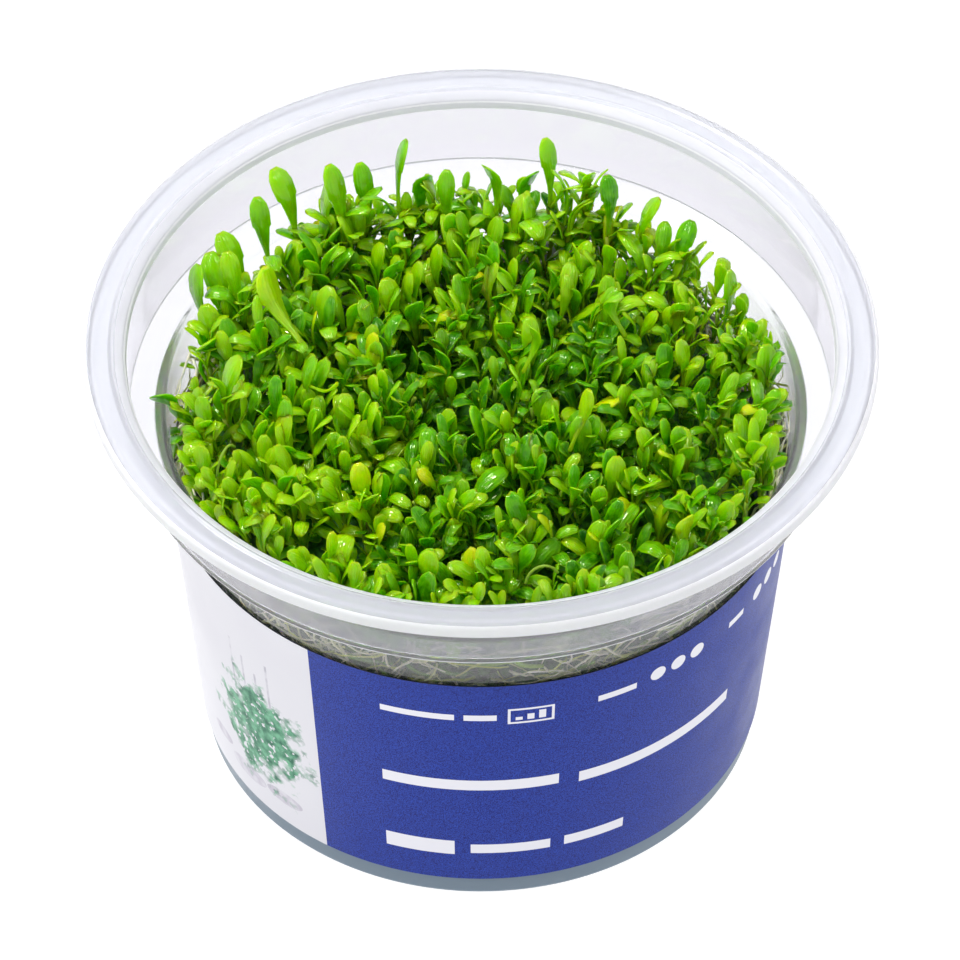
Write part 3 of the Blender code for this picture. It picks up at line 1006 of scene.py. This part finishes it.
# %% Grow the edge of the cushion
rng = random.Random(SEED + 300)
fringe = []
FRINGE_SHOOTS = 72
for shoot in range(FRINGE_SHOOTS):
    bearing = TURN * (shoot + rng.uniform(-0.35, 0.35)) / FRINGE_SHOOTS
    foot = level(bearing) * rng.uniform(33.6, 36.6) * MM
    foot.z = MAT_FLOOR
    tip = level(bearing) * rng.uniform(35.6, 37.6) * MM
    tip.z = rng.uniform(54.2, 57.4) * MM
    fringe += grow_shoot(rng, foot, tip, 3, rng.uniform(5.6, 7.6) * MM, rng.uniform(0.2, 0.85))
leafy_piece("fringe_shoots", fringe)
print("Fringe shoots:", FRINGE_SHOOTS)

# %% [markdown]
# At the back and the left, single leaves on long stalks stand high above the rest. Their tips are given
# one by one, in millimetres, because they draw the outline of the plant against the white cup.

# %% Grow the tall leaves
TALL_TIPS = [  # x, y, z and the length of the leaf
    (-24.6, 29.5, 63.5, 9.0), (-18.2, 29.8, 63.5, 9.5), (-11.0, 34.6, 64.3, 9.0),
    (-4.5, 31.5, 61.5, 7.5), (2.0, 33.0, 63.5, 8.0), (9.3, 34.4, 64.3, 8.0),
    (11.2, 32.3, 62.5, 7.5), (17.0, 30.6, 61.5, 7.0), (32.8, 18.2, 56.5, 7.5),
    (36.9, 4.0, 56.5, 8.0), (-37.8, 16.6, 58.5, 8.5), (-31.7, 21.9, 59.5, 9.0),
    (-28.3, 26.1, 61.5, 8.5), (-40.6, -0.7, 56.2, 8.5), (-34.0, 19.0, 58.0, 9.5),
    (-21.0, 32.0, 60.0, 8.5), (-8.0, 34.5, 60.0, 8.0), (5.6, 35.0, 60.5, 8.0),
    (14.0, 33.6, 59.5, 7.5), (21.0, 30.0, 59.0, 7.0), (26.0, 26.0, 58.0, 7.0),
    (-15.0, 34.5, 60.0, 8.5),
]
FOOT_LIMIT = 36.0 * MM
GROWN = 1.25  # the leaves are drawn larger than measured, since part of a blade is its stalk
REACH = 0.93  # how far a curled blade reaches, as a share of its length
top_kinds = [leaf_kinds[0], leaf_kinds[2], leaf_kinds[6]]
reaching = []
for x, y, z, length in TALL_TIPS:
    tip = Vector((x, y, z)) * MM
    inwards = min(0.93, FOOT_LIMIT / math.hypot(tip.x, tip.y))
    foot = Vector((tip.x * inwards, tip.y * inwards, MAT_FLOOR))
    axis = (tip - foot).normalized()
    blade = GROWN * length * MM
    blade_foot = tip - axis * REACH * blade
    thickness = rng.uniform(0.24, 0.32) * MM
    reaching.append(put_stem(rng, foot, blade_foot, thickness, rng.uniform(0.6, 1.0)))
    heading = rng.uniform(35.0, 145.0)
    shade = rng.uniform(0.45, 0.85)
    tilt = rng.uniform(0.0, 6.0)
    reaching.append(put_leaf(rng, blade_foot, axis, heading, tilt, blade, 0.95, top_kinds, shade))
    second = blade * rng.uniform(0.55, 0.8)
    tilt = rng.uniform(22.0, 48.0)
    reaching.append(put_leaf(rng, blade_foot, axis, heading + 180.0, tilt, second, tone=shade))
    for side in (90.0, 270.0):
        place = blade_foot.lerp(foot, rng.uniform(0.2, 0.7))
        size = rng.uniform(4.6, 7.0) * MM
        tilt = rng.uniform(30.0, 60.0)
        reaching.append(put_leaf(rng, place, axis, heading + side, tilt, size))
leafy_piece("tall_leaves", reaching)
print("Tall leaves:", len(TALL_TIPS))

# %% [markdown]
# A few leaves and stems stand out by their size or colour: one large pale blade on the left, some
# yellow leaves, and two thin stems that arch over the cushion. An arch is laid as short straight
# stems, each a little longer than its step, so that they overlap and look like one.

# %% Grow the leaves that stand out
rng = random.Random(SEED + 400)
STANDING_OUT = [  # foot and tip in mm, width, tone and kind of leaf
    ((-22.0, 6.5, 55.6), (-28.6, 13.0, 61.4), 1.15, 0.97, 6),
    ((25.6, -25.8, 50.5), (24.6, -24.0, 57.6), 1.1, 1.0, 6),
    ((-22.5, 1.0, 55.5), (-18.0, -5.0, 58.6), 0.7, 0.95, 4),
    ((11.0, -10.0, 54.0), (14.0, -6.0, 60.2), 0.9, 0.93, 0),
    ((18.5, 9.5, 55.0), (14.5, 13.0, 60.8), 1.1, 0.72, 1),
    ((5.2, 3.0, 55.0), (8.4, 6.2, 60.6), 1.1, 0.78, 3),
    ((-19.0, -27.5, 51.0), (-18.0, -29.0, 57.6), 0.8, 0.98, 0),
    ((-6.0, -31.5, 51.0), (-7.0, -33.0, 57.8), 1.15, 0.9, 6),
]
ARCHES = [((5.5, -32.5), 8.0, 4.4), ((-33.0, -14.0), 60.0, 4.6)]  # foot, bearing, span
ARCH_FOOT = 53.6
ARCH_STEM = 0.18 * MM
ARCH_STEPS, ARCH_START, ARCH_TURN = 9, 8.0, 17.0  # the angles are in degrees
OVERLAP = 0.15
standing_out = []
for low_end, high_end, wide, tone, kind in STANDING_OUT:
    start, end = Vector(low_end) * MM, Vector(high_end) * MM
    axis = (end - start).normalized()
    heading = math.degrees(math.atan2(axis.y, axis.x)) + 180.0
    length = (end - start).length * 1.1
    standing_out.append(put_leaf(rng, start, axis, heading, 2.0, length, wide, [leaf_kinds[kind]], tone))
for (x, y), bearing, span in ARCHES:
    points = []
    for step in range(ARCH_STEPS):
        swing = math.radians(ARCH_START + ARCH_TURN * step)
        onwards = level(math.radians(bearing)) * (0.5 * span * (1.0 - math.cos(swing)))
        lift = Vector((0.0, 0.0, 0.75 * span * math.sin(swing)))
        points.append((Vector((x, y, ARCH_FOOT)) + onwards + lift) * MM)
    for before, after in zip(points, points[1:]):
        end = after + (after - before) * OVERLAP
        standing_out.append(put_stem(rng, before, end, ARCH_STEM, 0.4, arch_kinds))
leafy_piece("standing_out", standing_out)
print("Leaves that stand out:", len(STANDING_OUT), "and arches:", len(ARCHES))

# %% [markdown]
# ## The mat under the leaves
# Between gel and leaves lies a felt of old stems and roots. Light hardly reaches into it, so a lumpy
# dark body can stand for its inside, coloured dark green as painted shade: a turned disc, remeshed
# evenly and displaced by a cloud texture.

# %% Felt of the mat
mat_low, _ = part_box("stem_mat")
FELT_TOP = 47.6 * MM
FELT_FOOT = mat_low.z + 0.4 * MM
FELT_EDGE = 36.2 * MM
FELT_MIDDLE = 8.0 * MM
felt_section = rounded(
    [
        (FELT_MIDDLE, FELT_TOP, 0.0),
        (26.0 * MM, FELT_TOP - 0.6 * MM, 6.0 * MM),
        (FELT_EDGE - 1.2 * MM, FELT_TOP - 3.6 * MM, 3.0 * MM),
        (FELT_EDGE - 1.4 * MM, FELT_FOOT + 0.6 * MM, 1.5 * MM),
        (FELT_EDGE - 6.0 * MM, FELT_FOOT, 1.0 * MM),
        (FELT_MIDDLE, FELT_FOOT, 0.0),
    ],
    5,
)
felt = turn("stem_mat_felt", felt_section)
smooth = felt.modifiers.new("Even mesh", "REMESH")
smooth.mode = "VOXEL"
smooth.voxel_size = 0.9 * MM
lumps = bpy.data.textures.new("felt_lumps", "CLOUDS")
lumps.noise_scale = 2.6 * MM
lumps.noise_depth = 2
displace = felt.modifiers.new("Lumps", "DISPLACE")
displace.texture = lumps
displace.strength = 3.2 * MM
displace.mid_level = 0.62
apply_modifiers(felt)
felt_dark = paint("felt_dark", {"Specular IOR Level": 0.3})
# The felt's dark green is painted shade: the inside of the tangle, where light hardly reaches.
felt_clouds = cloudy(felt_dark, 1100.0, 5.0)
felt_shade_share = stretch(felt_dark, felt_clouds, 0.35, 0.7)
felt_painted_shade = blend_colours(felt_dark, felt_shade_share, (0.004, 0.06, 0.0004, 1.0), (0.06, 0.28, 0.002, 1.0))
feed(felt_dark, "Base Color", felt_painted_shade)
uneven_gloss(felt_dark, felt_clouds, 0.45, 0.8)
raise_grain(felt_dark, felt_clouds, 0.8, 0.5 * MM)
settle(felt, felt_dark, None)
print("Felt:", len(felt.data.polygons), "faces")

# %% [markdown]
# Hundreds of single roots and creeping stems lie round the felt and hang down along the wall, where
# they show through the clear strip above the sleeve. Small leaves cover the felt's top, so that no
# gap between the tufts looks bare; their dark tone is painted shade, down in the gaps.

# %% Roots, creeping stems and low leaves round the felt
rng = random.Random(SEED + 500)
threads = []
WALL_GAP = 0.35 * MM
ROOTS, CREEPERS, LOW_LEAVES = 700, 110, 420
LOW_LEAF_REACH = 36.4 * MM


def at_wall(bearing, height, inset):
    """A place inside the wall, inset from its inner side."""
    place = level(bearing) * (body_radius(height) - WALL - WALL_GAP - inset)
    place.z = height
    return place


for root in range(ROOTS):
    bearing = rng.uniform(0.0, TURN)
    high = rng.uniform(40.0, 51.0) * MM
    low = high - rng.uniform(-1.0, 6.0) * MM
    end_bearing = bearing + rng.choice((-1.0, 1.0)) * rng.uniform(0.04, 0.24)
    start = at_wall(bearing, high, rng.uniform(0.0, 2.0) * MM)
    end = at_wall(end_bearing, low, rng.uniform(0.0, 0.7) * MM)
    thickness = rng.uniform(0.1, 0.24) * MM
    threads.append(put_stem(rng, start, end, thickness, rng.uniform(1.0, 1.7), root_kinds))
for creeper in range(CREEPERS):
    bearing = rng.uniform(0.0, TURN)
    height = rng.uniform(42.0, 49.0) * MM
    start = at_wall(bearing, height, rng.uniform(0.4, 2.2) * MM)
    end_bearing = bearing + rng.uniform(0.08, 0.2)
    end_height = height + rng.uniform(-2.5, 2.5) * MM
    end = at_wall(end_bearing, end_height, rng.uniform(0.4, 2.2) * MM)
    threads.append(put_stem(rng, start, end, rng.uniform(0.22, 0.34) * MM, rng.uniform(0.1, 0.6)))
for low_leaf in range(LOW_LEAVES):
    radius = LOW_LEAF_REACH * math.sqrt(rng.random())
    foot = level(rng.uniform(0.0, TURN)) * radius
    foot.z = rng.uniform(44.4, 46.6) * MM
    length = rng.uniform(3.2, 5.6) * MM
    heading = rng.uniform(0.0, 360.0)
    tilt = rng.uniform(5.0, 55.0)
    # Low leaves get a dark tone: painted shade at the bottom of the gaps.
    threads.append(put_leaf(rng, foot, UP, heading, tilt, length, tone=rng.uniform(0.0, 0.4)))
tangle = join("stem_mat_tangle", threads)
keep_inside(tangle)
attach(tangle, "root")
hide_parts("stem_mat")
print("Threads:", len(threads), "with", len(tangle.data.polygons), "faces")

# %% [markdown]
# The patterns for the copies have done their work and are put away.

# %% Remove the patterns
for kind in leaf_kinds + stem_kinds + arch_kinds + root_kinds:
    bpy.data.objects.remove(kind, do_unlink=True)

# %% [markdown]
# ## Floor, light and camera
# The photograph was taken on plain white that shines back from below, like a light table. A plain
# white floor would turn grey away from the lights, so this one also glows a little itself.

# %% Floor
bpy.ops.object.select_all(action="DESELECT")
bpy.ops.mesh.primitive_plane_add(size=6.0, location=(0.0, 0.0, -0.05 * MM))
floor = name_piece(bpy.context.object, "floor")
floor_settings = {"Roughness": 0.6, "Specular IOR Level": 0.2, "Emission Color": (1.0, 1.0, 1.0, 1.0)}
floor_white = paint("floor_white", {**floor_settings, "Emission Strength": 0.93})
floor_dark, floor_light = (0.24, 0.24, 0.24, 1.0), (0.26, 0.26, 0.26, 1.0)
floor_tone = blend_colours(floor_white, cloudy(floor_white, 3.0), floor_dark, floor_light)
feed(floor_white, "Base Color", floor_tone)
floor.data.materials.append(floor_white)
print("The floor lies at", round(floor.location.z / MM, 2), "mm")

# %% [markdown]
# Three round area lights make the soft shade and the small glints on the leaves. The world is bright
# at the horizon, where the cup's sides mirror it, and dimmer overhead, so that the lights still count.

# %% Light
AIM = Vector((0.0, 0.0, 0.05))


def soft_light(name, spot, size, power):
    light = bpy.data.objects.new(name, bpy.data.lights.new(name, "AREA"))
    light.data.shape = "DISK"
    light.data.size = size
    light.data.energy = power
    light.location = spot
    light.rotation_euler = (AIM - Vector(spot)).to_track_quat("-Z", "Y").to_euler()
    bpy.context.scene.collection.objects.link(light)


soft_light("key_light", (-0.42, 0.36, 1.12), 0.26, 11.4)
soft_light("front_light", (-0.5, -0.5, 1.05), 0.26, 4.2)
soft_light("fill_light", (0.75, -0.1, 0.95), 0.35, 2.6)
world = bpy.data.worlds.new("studio")
world.use_nodes = True
direction = wire(world, "TexCoord", {}).outputs["Generated"]
upwards = wire(world, "SeparateXYZ", {"Vector": direction}).outputs["Z"]
background = world.node_tree.nodes["Background"].inputs
background["Color"].default_value = (1.0, 1.0, 1.0, 1.0)
world.node_tree.links.new(stretch(world, upwards, 0.2, 0.7, 1.0, 0.17), background["Strength"])
bpy.context.scene.world = world
bpy.context.scene.view_settings.view_transform = "Standard"
print("Lights:", len(bpy.data.lights))

# %% [markdown]
# The camera stood about a metre away and looked down at 45 degrees. A long lens keeps the flat
# perspective that the two ellipses of the rim and the sleeve show.

# %% Camera
DISTANCE = 1.0
ELEVATION = math.radians(44.82)
PITCH = math.radians(45.84)
SIDEWAYS = -0.11 * MM
SENSOR, FOCAL_LENGTH = 36.0, 299.05  # in mm
lens = bpy.data.cameras.new("camera")
lens.sensor_width = SENSOR
lens.lens = FOCAL_LENGTH
camera = bpy.data.objects.new("camera", lens)
camera.location = (SIDEWAYS, -DISTANCE * math.cos(ELEVATION), TOP + DISTANCE * math.sin(ELEVATION))
camera.rotation_euler = (0.5 * math.pi - PITCH, 0.0, 0.0)
bpy.context.scene.collection.objects.link(camera)
bpy.context.scene.camera = camera
print("The camera's place in m:", [round(number, 3) for number in camera.location])
